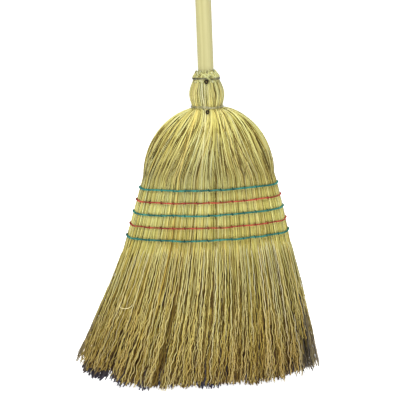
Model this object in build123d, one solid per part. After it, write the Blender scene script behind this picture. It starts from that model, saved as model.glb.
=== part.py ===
from build123d import *
import math
import os

# Sewn straw broom, in millimetres.
# The handle runs along +Z, the head is wide along X, and -Y is the front.
# The origin is on the handle's axis, in the plane of the longest straw tips.

# Handle
handle_diameter = 22.0
handle_exposed = 903.5  # from the top of the straw collar to the handle's top end
handle_depth = 75.0  # from the lower neck wire down to the handle's point
handle_driven_diameter = 17.0  # at the lower end of the taper that is driven into the straw
handle_point_length = 30.0
handle_point_diameter = 9.0
handle_end_round = 7.0

# Heights of the head, from the floor upwards
bottom_seam_height = 219.5
seam_count = 5
seam_pitch = 16.8
seam_sag = 4.1  # how much lower the top seam lies in the middle than at the sides
seam_sag_step = 0.95  # how much more each seam sags than the one above it
dome_drop = 14.0  # from the widest level of the dome down to the top seam
dome_height = 96.0  # from the widest level of the dome up to the lower neck wire
neck_length = 39.0  # from the lower neck wire to the upper one
collar_length = 11.0  # trimmed stalk ends above the upper neck wire

# Half sizes of the head, from the top downwards
collar_radius = 13.5
upper_neck_radius = 18.5
bulb_radius = 24.8
lower_neck_radius = 22.0
dome_half_width = 92.5
dome_half_depth = 42.0
dome_fullness = 0.59  # a smaller power makes rounder shoulders
sewn_half_width = 117.0  # below the lowest seam, where the loose straw begins
sewn_half_depth = 28.0
tip_half_width = 184.5
tip_half_depth = 48.0
side_roundness = 0.5  # side radius of a section, as a share of its half depth

# Lean and cut of the loose straw
skirt_lean = 36.5  # how far the middle of the tips lies towards -X
lean_power = 2.2
tip_rise = 22.0  # how much higher the corner tips end than the middle ones
tip_tilt = 6.0  # how much more the corner towards -X rises, and the other corner less
tip_unevenness = 8.0
floor_cut = 3.0  # what the longest tips lose where they are cut level with the floor

# Division of the straw into bundles, as shares of the outline from the front centre
front_share = 0.19  # the front cover reaches this far to each side
back_share = 0.31  # the back cover starts here on each side
core_share = 0.52  # size of the core bundle's section beside the whole section
core_neck_radius = 15.5
core_top_drop = 12.0  # from the upper neck wire down to the top of the core bundle
ridge_pitch = 7.0
ridge_depth = 1.3

# Loose strands
strand_pitch = 4.8
strand_row_pitch = 4.4
strand_radius = 2.0
strand_tip_radius = 1.2
strand_root_depth = 3.0
strand_inset = 4.0  # from the outline of the head to the middle of its outermost strands
strand_sides = 3
strand_wander = 1.4
length_scatter = 0.618  # steps that spread the strands' lengths and turns
turn_scatter = 0.414
slice_drop = 13.0  # from the bottom seam down to where the loose strands begin

# Binding wire and nails
wire_diameter = 1.0
wire_turn_gap = 0.45
neck_wire_turns = 2
core_wire_turns = 4
core_wire_drop = 17.0  # from the top of the core bundle to the middle of its wire
nail_head_diameter = 6.0
nail_head_height = 1.6
nail_rim_height = 0.6
nail_shank_diameter = 2.2
nail_length = 24.0
upper_nail_drop = 3.6  # from the middle of the upper neck wire down to its nail
lower_nail_drop = 5.4  # from the middle of the lower neck wire down to its nail

# Sewing twine
twine_diameter = 2.4
stitch_diameter = 2.0
stitch_pitch = 16.5
stitch_side_margin = 14.0  # from a head's side to its outermost stitch
stitch_proud = 0.5  # how far a stitch stands out over its girdle
knot_diameter = 2.7  # where the front and the back of a seam are tied together

# Clearances
straw_gap = 0.3
nail_gap = 0.05
wire_gap = 0.1

# Steps of the faceted straw
bulb_steps = 5
dome_steps = 8
core_steps = 44
needle_hole_sides = 6

# Samples for measuring
girdle_samples = 24
girdle_passes = 6
turn_samples = 24

# Heights that follow from the sizes above
winding_height = neck_wire_turns * (wire_diameter + wire_turn_gap) + wire_diameter
core_winding_height = core_wire_turns * (wire_diameter + wire_turn_gap) + wire_diameter
top_seam_height = bottom_seam_height + (seam_count - 1) * seam_pitch
widest_height = top_seam_height + dome_drop
lower_wire_height = widest_height + dome_height
upper_wire_height = lower_wire_height + neck_length
collar_top = upper_wire_height + collar_length
handle_top = collar_top + handle_exposed
handle_bottom = lower_wire_height - handle_depth
handle_shoulder = handle_bottom + handle_point_length
core_top = upper_wire_height - core_top_drop
core_wire_height = core_top - core_wire_drop
slice_height = bottom_seam_height - slice_drop
wire_seat = winding_height / 2 + straw_gap
core_wire_seat = core_winding_height / 2 + straw_gap
dome_top = lower_wire_height - wire_seat

# Shares of the outline taken by the front cover, right shoulder, back cover and left shoulder
sectors = [
    (-front_share, front_share),
    (front_share, back_share),
    (back_share, 1 - back_share),
    (1 - back_share, 1 - front_share),
]


def swell(share):
    """How far the dome has opened, from 0 at the neck to 1 at its widest level."""
    return max(0.0, share * (2.0 - share)) ** dome_fullness


def neck_radius(z):
    """Radius of the round neck: the collar, the two wire seats and the bulb between them."""
    bulb_top = upper_wire_height - wire_seat
    bulb_bottom = lower_wire_height + wire_seat
    collar_bottom = upper_wire_height + wire_seat
    if z > collar_bottom:
        share = (z - collar_bottom) / (collar_top - collar_bottom)
        return upper_neck_radius + (collar_radius - upper_neck_radius) * share
    if z >= bulb_top:
        return upper_neck_radius
    if z > bulb_bottom:
        share = (bulb_top - z) / (bulb_top - bulb_bottom)
        level = upper_neck_radius + (lower_neck_radius - upper_neck_radius) * share
        bulge = bulb_radius - (upper_neck_radius + lower_neck_radius) / 2
        return level + bulge * math.sin(math.pi * share)
    return lower_neck_radius


def half_width(z):
    """Half of the head's width along X."""
    if z >= dome_top:
        return neck_radius(z)
    if z >= widest_height:
        share = (dome_top - z) / (dome_top - widest_height)
        return lower_neck_radius + (dome_half_width - lower_neck_radius) * swell(share)
    if z >= slice_height:
        share = (widest_height - z) / (widest_height - slice_height)
        return dome_half_width + (sewn_half_width - dome_half_width) * share
    return sewn_half_width + (tip_half_width - sewn_half_width) * (1.0 - z / slice_height)


def half_depth(z):
    """Half of the head's thickness along Y."""
    if z >= dome_top:
        return neck_radius(z)
    if z >= widest_height:
        share = (dome_top - z) / (dome_top - widest_height)
        press = share * share * (3.0 - 2.0 * share)
        open_depth = lower_neck_radius + (dome_half_depth - lower_neck_radius) * swell(share)
        return open_depth - (dome_half_depth - sewn_half_depth) * press
    if z >= slice_height:
        return sewn_half_depth
    spread = 1.0 - z / slice_height
    return sewn_half_depth + (tip_half_depth - sewn_half_depth) * spread


def centre(z):
    """X of the middle of a section: the loose straw leans to one side."""
    if z >= dome_top:
        return 0.0
    return -skirt_lean * (1.0 - z / dome_top) ** lean_power


class Oval:
    """Outline of four tangent arcs: long arcs at front and back, and a tighter arc at each side."""

    def __init__(self, width, depth, side=None):
        self.width = width
        self.depth = depth
        self.side = side or side_roundness * depth
        reach = width - self.side
        self.long = (reach**2 + depth**2 - self.side**2) / (2 * (depth - self.side))
        self.turn = math.asin(min(1.0, reach / (self.long - self.side)))
        self.long_run = self.long * self.turn
        self.quarter = self.long_run + self.side * (math.pi / 2 - self.turn)

    def corner(self, run, outset=0.0):
        """(distance sideways, distance from the X axis) after a run from the front or back centre."""
        if run <= self.long_run:
            angle = run / self.long
            away = self.long + outset
            return away * math.sin(angle), away * math.cos(angle) - self.long + self.depth
        angle = self.turn + (run - self.long_run) / self.side
        away = self.side + outset
        return self.width - self.side + away * math.sin(angle), away * math.cos(angle)

    def point(self, share, outset=0.0):
        """Point at a share of the outline, counted from the front centre (-Y) towards +X."""
        share = share % 1.0
        run = min(share % 0.5, 0.5 - share % 0.5) * 4 * self.quarter
        sideways, away = self.corner(run, outset)
        x_sign = 1 if share < 0.5 else -1
        y_sign = -1 if share < 0.25 or share >= 0.75 else 1
        return x_sign * sideways, y_sign * away

    def distance(self, x, y):
        """Distance of a point outside the outline, which is negative for a point inside it."""
        past_side = abs(x) - self.width + self.side
        if math.atan2(abs(x), abs(y) + self.long - self.depth) <= self.turn:
            return math.hypot(x, abs(y) + self.long - self.depth) - self.long
        return math.hypot(past_side, y) - self.side

    def depth_at(self, sideways):
        """Distance of the long arc from the X axis, at a distance sideways from the middle."""
        return math.sqrt(self.long**2 - sideways**2) - self.long + self.depth


def core_oval(z, outset=0.0):
    """Section of the core bundle: round in the neck, and a share of the head's section below it."""
    if z >= dome_top:
        return Oval(core_neck_radius + outset, core_neck_radius + outset)
    width = max(core_neck_radius, core_share * half_width(z))
    depth = max(core_neck_radius, core_share * half_depth(z))
    return Oval(max(width, depth) + outset, depth + outset)


def driven_radius(z):
    """Radius of the handle where it is driven into the straw, between its shoulder and the collar's top."""
    share = (z - handle_shoulder) / (collar_top - handle_shoulder)
    return (handle_driven_diameter + (handle_diameter - handle_driven_diameter) * share) / 2


def inner_oval(z):
    """Inside of the outer bundles: clear of the core bundle, or of the bare handle above it."""
    if z > core_top + straw_gap:
        return Oval(driven_radius(z) + straw_gap, driven_radius(z) + straw_gap)
    return core_oval(z, straw_gap)


def outer_levels():
    """Heights of the sections through an outer bundle, from the collar down to the loose strands."""
    bulb_top = upper_wire_height - wire_seat
    bulb_bottom = lower_wire_height + wire_seat
    levels = [collar_top, upper_wire_height + wire_seat]
    levels += [bulb_top + (bulb_bottom - bulb_top) * i / bulb_steps for i in range(bulb_steps + 1)]
    levels += [core_top + 2 * straw_gap, core_top + straw_gap]
    dome = dome_top - widest_height
    levels += [dome_top - dome * (i / dome_steps) ** 2 for i in range(dome_steps + 1)]
    levels += [(widest_height + slice_height) / 2, slice_height]
    return sorted(levels, reverse=True)


def core_levels():
    """Heights of the sections through the core bundle, with a narrow seat for its wire."""
    dome = dome_top - widest_height
    levels = [core_top, core_wire_height + core_wire_seat, core_wire_height - core_wire_seat]
    levels += [dome_top - dome * (i / dome_steps) ** 2 for i in range(dome_steps + 1)]
    levels += [(widest_height + slice_height) / 2, slice_height]
    return sorted(levels, reverse=True)


def inner_shares(first_share, last_share):
    """Shares of the core's outline at which it and the bundle around it both have a corner."""
    steps = max(1, round((last_share - first_share) * core_steps))
    return [first_share + (last_share - first_share) * i / steps for i in range(steps + 1)]


def sector_points(z, first_share, last_share, ridges):
    """Corners of one outer bundle's section: a ridged outside and a plain inside."""
    outline = Oval(half_width(z), half_depth(z))
    inside = inner_oval(z)
    depth = ridge_depth * half_width(z) / dome_half_width
    gap_share = straw_gap / (4 * outline.quarter)
    inner_gap_share = straw_gap / (4 * inside.quarter)
    points = []
    for i in range(2 * ridges + 1):
        share = first_share + gap_share + (last_share - first_share - 2 * gap_share) * i / (2 * ridges)
        points.append(outline.point(share, -depth if i % 2 == 0 else 0.0))
    shares = inner_shares(first_share, last_share)
    shares[0] += inner_gap_share
    shares[-1] -= inner_gap_share
    points += [inside.point(share) for share in reversed(shares)]
    return [(x + centre(z), y, z) for x, y in points]


def core_points(z):
    """Corners of the core bundle's section."""
    seat = abs(z - core_wire_height) <= core_wire_seat + straw_gap
    outline = core_oval(z, -wire_diameter - wire_gap if seat else 0.0)
    shares = [share for first, last in sectors for share in inner_shares(first, last)[:-1]]
    points = [outline.point(share) for share in reversed(shares)]
    return [(x + centre(z), y, z) for x, y in points]


def facet(*corners):
    """Flat face between corners."""
    return Face(Wire.make_polygon(corners, close=True))


def ring_solid(rings, flat_sides=False):
    """Solid through rings of corners, with flat facets between them, halved where they would be twisted.

    The closing side is halved the other way, so that it lies flush with the next bundle's side.
    """
    faces = [facet(*rings[0]), facet(*rings[-1])]
    for upper, lower in zip(rings, rings[1:]):
        for i in range(len(upper)):
            j = (i + 1) % len(upper)
            if flat_sides:
                faces.append(facet(upper[i], upper[j], lower[j], lower[i]))
                continue
            high, low = (i, j) if j else (j, i)
            faces.append(facet(upper[i], upper[j], lower[low]))
            faces.append(facet(upper[high], lower[j], lower[i]))
    return Solid(Shell(faces))


def scatter(number, step):
    """Repeatable value from 0 to 1 for a strand's number."""
    return (number * step) % 1.0


def strand_corners(x, y, z, radius):
    """Corners of a strand's section, one of them towards +Y."""
    turns = [math.pi / 2 + 2 * math.pi * i / strand_sides for i in range(strand_sides)]
    return [Vector(x + radius * math.cos(a), y + radius * math.sin(a), z) for a in turns]


def strand(number, root_x, root_y):
    """One loose strand, from inside the bundle's lowest slice down to its tip."""
    across = root_x / (half_width(slice_height) - strand_inset)
    outwards = root_y / (half_depth(slice_height) - strand_inset)
    rise = tip_rise * across**2 - tip_tilt * across + tip_unevenness * scatter(number, length_scatter)
    tip = max(0.0, rise - floor_cut)
    heights = [slice_height + strand_root_depth, (slice_height + tip) / 2, tip]
    radii = [strand_radius, strand_radius, strand_tip_radius]
    wanders = [0.0, strand_wander / 4, strand_wander]
    turn = 2 * math.pi * scatter(number, turn_scatter)
    rings = []
    for z, radius, wander in zip(heights, radii, wanders):
        x = centre(z) + across * (half_width(z) - strand_inset) + wander * math.cos(turn)
        y = outwards * (half_depth(z) - strand_inset) + wander * math.sin(turn)
        rings.append(strand_corners(x, y, z, radius))
    return ring_solid(rings, flat_sides=True)


def strand_roots():
    """Places for the loose strands, in staggered rows over the lowest slice, from its middle."""
    rows = int(half_depth(slice_height) / strand_row_pitch) + 1
    columns = int(half_width(slice_height) / strand_pitch) + 1
    places = []
    for row in range(-rows, rows + 1):
        for column in range(-columns, columns + 1):
            stagger = 0.5 * (row % 2)
            places.append(((column + stagger) * strand_pitch, row * strand_row_pitch))
    return places


def strands_in(section):
    """Strands whose whole root lies inside one bundle's section at the lowest slice."""
    face = make_face(Wire.make_polygon(section, close=True))
    found = []
    for number, (x, y) in enumerate(strand_roots()):
        root = strand_corners(centre(slice_height) + x, y, slice_height, strand_radius)
        if all(face.is_inside(p) for p in root):
            found.append(strand(number, x, y))
    return found


def seam_heights():
    """Heights of the seams at the head's sides, from the top seam down."""
    return [top_seam_height - i * seam_pitch for i in range(seam_count)]


class Seam:
    """One row of sewing: a girdle of twine round the head, and stitches through it."""

    def __init__(self, height, sag):
        self.height = height
        self.sag = sag
        self.middle = centre(height)
        self.side_outset = twine_diameter / 2 + straw_gap
        self.lay()
        for i in range(girdle_passes):
            self.side_outset += self.shortfall()
            self.lay()
        reach = half_width(height) - stitch_side_margin
        self.count = 2 * int(reach / stitch_pitch) + 1
        self.places = [stitch_pitch * (i - (self.count - 1) / 2) for i in range(self.count)]

    def lay(self):
        """Lay the girdle's centre line round the head."""
        depth = half_depth(self.height) + twine_diameter / 2 + straw_gap
        self.slope = math.atan(self.sag / depth)
        self.oval = Oval(
            half_width(self.height) + self.side_outset,
            depth / math.cos(self.slope),
            side_roundness * half_depth(self.height) + twine_diameter / 2 + straw_gap,
        )

    def shortfall(self):
        """How much the girdle has to move out at the sides to lie clear of the straw all round."""
        most = 0.0
        for i in range(girdle_samples + 1):
            sideways, away = self.oval.corner(self.oval.quarter * i / girdle_samples)
            for side in (-1, 1):
                at = self.on_plane(side * sideways, away, -1)
                head = Oval(half_width(at.Z), half_depth(at.Z))
                clear = head.distance(at.X - centre(at.Z), at.Y)
                most = max(most, twine_diameter / 2 + straw_gap / 2 - clear)
        return most

    def on_plane(self, sideways, away, y_sign):
        """Point of the girdle's front or back half, which droops towards its middle."""
        y = y_sign * away * math.cos(self.slope)
        return Vector(self.middle + sideways, y, self.height - away * math.sin(self.slope))

    def half(self, y_sign):
        """Half of the girdle, over the front or the back."""
        oval = self.oval
        runs = [oval.quarter, (oval.quarter + oval.long_run) / 2, oval.long_run, 0.0]
        right = [self.on_plane(*oval.corner(run), y_sign) for run in runs]
        left = [self.on_plane(-x, d, y_sign) for x, d in map(oval.corner, runs)]
        path = Wire(
            [
                Edge.make_three_point_arc(right[0], right[1], right[2]),
                Edge.make_three_point_arc(right[2], right[3], left[2]),
                Edge.make_three_point_arc(left[2], left[1], left[0]),
            ]
        )
        section = Plane(origin=path @ 0, z_dir=path % 0) * Circle(twine_diameter / 2)
        return sweep(section, path=path)

    def through(self, sideways, section):
        """A section run straight through the head, from over the front girdle to over the back one."""
        away = self.oval.depth_at(abs(sideways))
        at = self.on_plane(sideways, away, -1)
        reach = abs(at.Y) + twine_diameter / 2 + stitch_proud
        return Pos(at.X, 0, at.Z) * Rot(90, 0, 0) * extrude(section, reach, both=True)

    def needle_holes(self):
        """Room for the stitches in the straw."""
        section = RegularPolygon(stitch_diameter / 2 + straw_gap, needle_hole_sides, major_radius=False)
        return [self.through(x, section) for x in self.places]

    def twine(self):
        """The whole seam as one piece of twine."""
        front, back = self.half(-1), self.half(1)
        ends = [self.on_plane(side * self.oval.width, 0.0, 1) for side in (-1, 1)]
        knots = [Pos(*end) * Sphere(knot_diameter / 2) for end in ends]
        stitches = [self.through(x, Circle(stitch_diameter / 2)) for x in self.places]
        return front.fuse(back, *knots, *stitches)


def winding(height, radius, turns):
    """Wire wound round the neck, in half turns, each end running straight for one diameter."""
    pitch = wire_diameter + wire_turn_gap
    around = radius + wire_gap + wire_diameter / 2
    low = height - turns * pitch / 2
    lean = math.hypot(around, pitch / 4)
    edges = []
    for i in range(2 * turns):
        side = -1 if i % 2 == 0 else 1
        z = low + i * pitch / 2
        start = Vector(0, side * around, z)
        through = Vector(-side * lean, 0, z + pitch / 4)
        edges.append(Edge.make_three_point_arc(start, through, Vector(0, -side * around, z + pitch / 2)))
    first, last = edges[0], edges[-1]
    lead_in = Edge.make_line(first @ 0 - (first % 0) * wire_diameter, first @ 0)
    lead_out = Edge.make_line(last @ 1, last @ 1 + (last % 1) * wire_diameter)
    path = Wire([lead_in, *edges, lead_out])
    section = Plane(origin=path @ 0, z_dir=path % 0) * Circle(wire_diameter / 2)
    return sweep(section, path=path), edges


def least_gap(edges):
    """Smallest clear distance between one turn of a winding and the next, measured on points."""
    points = [[edge @ (i / turn_samples) for i in range(turn_samples)] for edge in edges]
    gap = math.inf
    for i, low in enumerate(points):
        for high in points[i + 2 :]:
            gap = min(gap, min((a - b).length for a in low for b in high))
    return gap - wire_diameter


def handle_profile(outset):
    """Half section of the handle, from its point to its rounded top end."""
    radius = handle_diameter / 2 + outset
    shoulder_radius = handle_driven_diameter / 2 + outset
    point_radius = handle_point_diameter / 2 + outset
    round_start = handle_top - handle_end_round
    flat = radius - handle_end_round
    edge_mid = Vector(
        flat + handle_end_round * math.sin(math.pi / 4),
        0,
        round_start + handle_end_round * math.cos(math.pi / 4),
    )
    bottom = handle_bottom - outset
    return Wire(
        [
            Edge.make_line((0, 0, bottom), (point_radius, 0, bottom)),
            Edge.make_line((point_radius, 0, bottom), (shoulder_radius, 0, handle_shoulder)),
            Edge.make_line((shoulder_radius, 0, handle_shoulder), (radius, 0, collar_top)),
            Edge.make_line((radius, 0, collar_top), (radius, 0, round_start)),
            Edge.make_three_point_arc((radius, 0, round_start), edge_mid, (flat, 0, handle_top)),
            Edge.make_line((flat, 0, handle_top), (0, 0, handle_top)),
            Edge.make_line((0, 0, handle_top), (0, 0, bottom)),
        ]
    )


def handle_solid(outset=0.0):
    """The turned handle, or with an outset the room that it needs in the straw."""
    return revolve(make_face(handle_profile(outset)), axis=Axis.Z)


def nail_profile(outset):
    """Half section of a nail with a domed head, or with an outset that of its room."""
    head = nail_head_diameter / 2 + outset
    shank = nail_shank_diameter / 2 + outset
    crown = (0, 0, nail_head_height + outset)
    rim = (head, 0, nail_rim_height + outset)
    underside = (head, 0, -outset)
    neck = (shank, 0, -outset)
    tip = (shank, 0, -nail_length - outset)
    middle = (0, 0, -nail_length - outset)
    straight = [(rim, underside), (underside, neck), (neck, tip), (tip, middle), (middle, crown)]
    dome = Edge.make_tangent_arc(crown, Vector(1, 0, 0), rim)
    return Wire([dome] + [Edge.make_line(start, end) for start, end in straight])


def nail(wire_height, drop, outset=0.0):
    """A nail driven in from the front, just under a neck wire, or with an outset its room."""
    height = wire_height - drop
    wire_outside = half_depth(wire_height) + wire_gap + wire_diameter
    seat = max(half_depth(height - nail_head_diameter / 2), wire_outside + nail_gap)
    upright = revolve(make_face(nail_profile(outset)), axis=Axis.Z)
    return Pos(0, -seat, height) * Rot(90, 0, 0) * upright


def outer_bundle(first_share, last_share, room):
    """One outer bundle of straw, from its trimmed stalk ends to its loose strands."""
    run = (last_share - first_share) * 4 * Oval(half_width(widest_height), sewn_half_depth).quarter
    ridges = max(2, round(run / ridge_pitch))
    rings = [sector_points(z, first_share, last_share, ridges) for z in outer_levels()]
    block = ring_solid(rings).cut(*room)
    return block.fuse(*strands_in(rings[-1]))


def core_bundle(room):
    """The core bundle, tied on the handle's point by its own wire."""
    rings = [core_points(z) for z in core_levels()]
    block = ring_solid(rings).cut(handle_solid(straw_gap), *room)
    return block.fuse(*strands_in(rings[-1]))


def build():
    """All pieces of the broom, by name."""
    seams = [Seam(z, seam_sag + i * seam_sag_step) for i, z in enumerate(seam_heights())]
    needle_holes = [hole for seam in seams for hole in seam.needle_holes()]
    nails = {"lower": (lower_wire_height, lower_nail_drop), "upper": (upper_wire_height, upper_nail_drop)}
    nail_rooms = [nail(*place, straw_gap) for place in nails.values()]
    room = needle_holes + nail_rooms

    pieces = {"handle": handle_solid().cut(*[nail(*place, nail_gap) for place in nails.values()])}
    pieces["core_bundle"] = core_bundle(room)
    names = ["front_cover", "right_shoulder", "back_cover", "left_shoulder"]
    for name, (first, last) in zip(names, sectors):
        pieces[name] = outer_bundle(first, last, room)

    core_seat = core_neck_radius - wire_diameter - wire_gap
    windings = {
        "core_wire": winding(core_wire_height, core_seat, core_wire_turns),
        "lower_neck_wire": winding(lower_wire_height, lower_neck_radius, neck_wire_turns),
        "upper_neck_wire": winding(upper_wire_height, upper_neck_radius, neck_wire_turns),
    }
    for name, (wire, edges) in windings.items():
        pieces[name] = wire
        print(f"{name}: least gap between turns {least_gap(edges):.2f} mm")

    for name, place in nails.items():
        pieces[f"{name}_nail"] = nail(*place)
    for number, seam in enumerate(seams, 1):
        colour = "teal" if number % 2 else "red"
        pieces[f"seam_{number}_{colour}"] = seam.twine()
    return pieces


os.makedirs("parts", exist_ok=True)
for node, shape in build().items():
    export_step(shape, f"parts/{node}.step")
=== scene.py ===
"""Dress the straw broom: straw, twine, wood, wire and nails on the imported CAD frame."""

import math
from typing import NamedTuple

import bpy
import numpy as np
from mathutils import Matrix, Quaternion, Vector


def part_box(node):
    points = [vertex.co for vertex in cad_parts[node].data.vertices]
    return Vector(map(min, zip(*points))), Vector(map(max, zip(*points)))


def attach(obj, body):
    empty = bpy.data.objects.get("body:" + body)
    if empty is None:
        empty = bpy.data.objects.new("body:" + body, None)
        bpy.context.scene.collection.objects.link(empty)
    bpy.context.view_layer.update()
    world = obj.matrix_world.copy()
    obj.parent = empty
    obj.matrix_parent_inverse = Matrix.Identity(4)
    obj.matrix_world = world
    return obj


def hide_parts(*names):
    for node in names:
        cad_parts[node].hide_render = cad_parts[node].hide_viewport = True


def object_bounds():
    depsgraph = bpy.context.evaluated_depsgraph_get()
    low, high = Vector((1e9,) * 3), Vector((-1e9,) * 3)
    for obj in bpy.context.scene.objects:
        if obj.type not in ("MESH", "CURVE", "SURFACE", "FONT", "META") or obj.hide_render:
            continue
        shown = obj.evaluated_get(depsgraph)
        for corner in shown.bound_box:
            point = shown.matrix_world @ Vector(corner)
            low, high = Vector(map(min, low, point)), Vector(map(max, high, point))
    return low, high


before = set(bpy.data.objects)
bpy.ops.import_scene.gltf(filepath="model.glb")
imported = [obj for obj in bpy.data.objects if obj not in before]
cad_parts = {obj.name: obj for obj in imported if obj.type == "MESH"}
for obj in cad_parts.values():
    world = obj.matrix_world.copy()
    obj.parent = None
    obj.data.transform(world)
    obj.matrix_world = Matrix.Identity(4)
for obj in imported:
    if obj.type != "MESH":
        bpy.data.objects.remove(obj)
cad_low, cad_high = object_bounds()
random = np.random.default_rng(seed=11)
mm = 0.001
white = (1.0, 1.0, 1.0)
up = np.array([0.0, 0.0, 1.0])


def in_mm(*lengths):
    """Lengths given in mm, in metres."""
    return tuple(length * mm for length in lengths)


# Nodes of the frame
straw_nodes = ("front_cover", "right_shoulder", "back_cover", "left_shoulder")
seam_nodes = ("seam_1_teal", "seam_2_red", "seam_3_teal", "seam_4_red", "seam_5_teal")
wire_nodes = ("core_wire", "lower_neck_wire", "upper_neck_wire")
nail_nodes = ("lower_nail", "upper_nail")

# Shares of the head's outline, counted from the middle of the front towards +X
right_side = 0.25
left_side = 0.75
bundle_shares = ((-0.19, 0.19), (0.19, 0.31), (0.31, 0.69), (0.69, 0.81))  # of each of the straw nodes

# Sizes that the frame's boxes don't give
wire_diameter = 1.0 * mm
wire_clearance = 0.1 * mm
wire_seat = 2.25 * mm  # half the height of the groove that a wire lies in
nail_head_height = 1.6 * mm
nail_margin = 1.0 * mm
knot_radius = 1.35 * mm
collar_radius = 13.5 * mm
collar_overrun = 1.4  # the collar's slope goes on above its top, up to this share of its height
bulb_radius = 24.8 * mm
dome_half_width = 92.5 * mm
dome_half_depth = 42.0 * mm
dome_fullness = 0.59
dome_drop = 14.0 * mm
sewn_half_width = 117.0 * mm
sewn_half_depth = 28.0 * mm
slice_drop = 13.0 * mm
side_roundness = 0.5
skirt_lean = 36.5 * mm
lean_power = 2.2
tip_half_width = 184.5 * mm
tip_half_depth = 46.0 * mm
tip_rise = 20.0 * mm
tip_power = 2.5
tip_tilt = -1.0 * mm
left_lift = 6.5 * mm
left_lift_range = (0.52, 0.64)  # where the left part of the cut edge steps up, as a share of the half width
corner_rise = 12.0 * mm
corner_start = 0.9
twine_radius = 1.2 * mm
stitch_pitch = 16.5 * mm
stitch_side_margin = 14.0 * mm

# Stalks: the thick strands that show from the collar to the tips
stalk_count = 360
stalk_places = (13, 16, 26, 24)  # in the neck, dome, sewn part and skirt
stalk_widths = in_mm(1.9, 1.9, 1.5, 1.15)  # at the neck, widest level, slice and tips
stalk_sizes = (0.75, 1.3)  # of single stalks beside those widths
stalk_flatness = 0.7
stalk_ends = in_mm(2.5, 7.0)  # cut ends over the upper wire
stalk_cut = in_mm(2.0, 14.0)  # tips over the cut edge
stalk_sink = 6.0 * mm
stalk_drift = 0.004  # slope at which they wander sideways
stalk_weave = 0.06  # slope at which they dive under their neighbours in the skirt
stalk_loose_power = 1.3  # their crinkle grows by this power of the way down the skirt
stalk_tones = (0.61, 0.065)  # middle and spread
stalk_painted_shade = 0.18  # painted shade: how much darker the deepest ones are
brightest_stalk = 0.8
dark_stalks = 0.1  # share of the stalks that are dark
dark_tones = (0.1, 0.35)
bed_limit = 0.25  # most depth of the layer of stalks, as a share of the head's half depth
neck_crossing = 0.03  # how far stalks cross over in the dome, as a share of the outline
bulb_crossing = 0.03  # and in the neck
fan_power = 1.2  # strands that run straight over the dome spread by this power of the way down
fan_side_power = 3.0  # and run less straight towards the sides, by this power of the way there
neck_twist = 0.03  # how far the neck is turned, as a share of the outline

# Fine stalks: strands that come up between them where the dome spreads out
fine_roots = (0.05, 0.95)  # where they come up: the square root of the share of the dome above it
fine_sizes = (0.7, 1.3)
fine_crossing = 0.02
fine_sink = 4.0 * mm
fine_dive = 3  # how steeply both ends go down to that depth
fine_start = 0.45  # width where they come up, as a share of their full width
fine_swell = 0.3  # share of their length over which they grow to it
fine_looseness = 0.6  # how much of the fibres' crinkle they take on in the skirt
fine_drift = 0.006
fine_drift_gain = 0.016  # how much more they wander at their lower ends
fine_weave = 0.01
# painted shade: how much darker the deepest fine stalks are
fine_painted_shade = 0.15
fine_places = 30
fine_bias = 1.3  # places are closer together at the top, where the dome bends most

# Stubs: the trimmed ends round the collar
stub_count = 190
stub_places = 14
stub_width = 1.5 * mm
stub_sizes = (0.6, 1.25)
stub_ends = in_mm(-6.0, 0.8)  # cut ends beside the top of the collar
stub_roots = in_mm(2.0, 5.0)  # lower ends under the wire
stub_overhang = 0.9 * mm
stub_lean = 0.9 * mm
stub_leans = (-0.4, 1.0)  # of single stubs beside that
stub_crossing = 0.08
stub_pivot = 0.2  # share of their length at which they cross
stub_tones = (0.62, 0.18)
loose_stubs = 0.5  # share of the stubs right of the middle that lie over the wire
loose_range = (0.05, 0.65)  # where those are, as a share of the collar's radius
wire_hump = 3.5 * mm

# Swelling between the seams
pillow = 0.25 * mm  # all round
side_swell = 0.5 * mm  # at the left and the right, on top of that
side_pinch = 0.2
pinch_reach = 3.0 * mm
upper_fade = 14.0 * mm
lower_fade = 32.0 * mm

# Tufts that the loose straw gathers into
tuft_count = 60
tuft_areas = (0.3, 0.98)  # where they are, as squared scales of the section
tuft_depth_weight = 1.6  # steps from front to back count this much more
tuft_reach = 16.0 * mm
tuft_limit = 1.3
tuft_notch = 5.0 * mm  # height lost between tufts
tuft_power = 1.5
tuft_pull = 0.4
pull_power = 4
free_edge = 0.82  # no tuft draws in the straw beyond this share of the half width
tuft_lengths = in_mm(-3.0, 4.0)  # height lost at single tufts
cut_notches = (  # short straw in the cut edge: place across, depth and half width
    in_mm(-80, 3, 8),
    in_mm(-62, 7, 6),
    in_mm(-34, 5, 6),
    in_mm(27, 6, 13),
)
dark_tufts = (  # where the dark core comes down to the cut edge: place across, depth and half width
    in_mm(-106, 6, 9),
    in_mm(-14, 6, 13),
    in_mm(92, 4, 10),
)

# Loose straw
fibre_sizes = (0.7, 1.35)
fibre_flatness = 0.8
fibre_sink = 2.5 * mm
fibre_dive = 9  # the upper ends come up from that depth in one part of so many of their length
fibre_taper = 0.2
fibre_slant = 0.025
fibre_drift = 0.025
fibre_weave = 0.02
brightest_fibre = 0.94
seam_looseness = 0.2  # how much of the fibres' crinkle is left right under the seams
loose_power = 1.6  # and by what power of the way down the skirt it grows
crinkles = ((0.065, in_mm(10, 19)), (0.035, in_mm(26, 50)))  # waves: height by length, and lengths
shoot_part = 4  # a side shoot is one part of so many of its fibre
shoot_start = 3  # and leaves it below one part of so many
shoot_leans = (3, 9)  # in mm
shoot_lifts = (-1, 2)  # in mm
shoot_bow = 1.4
shoot_width = 0.7

# Worn corners, where the outer straw has broken off
right_wear_width = 33.0 * mm
right_wear_fade = 12.0 * mm
right_wear = in_mm(26.0, 84.0)  # height that is lost
left_wear_width = 66.0 * mm
left_wear_fade = 16.0 * mm
left_wear = in_mm(1.0, 12.0)
weathered_fade = 30.0 * mm  # height below the seams over which straw takes on the colour of its side

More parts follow.
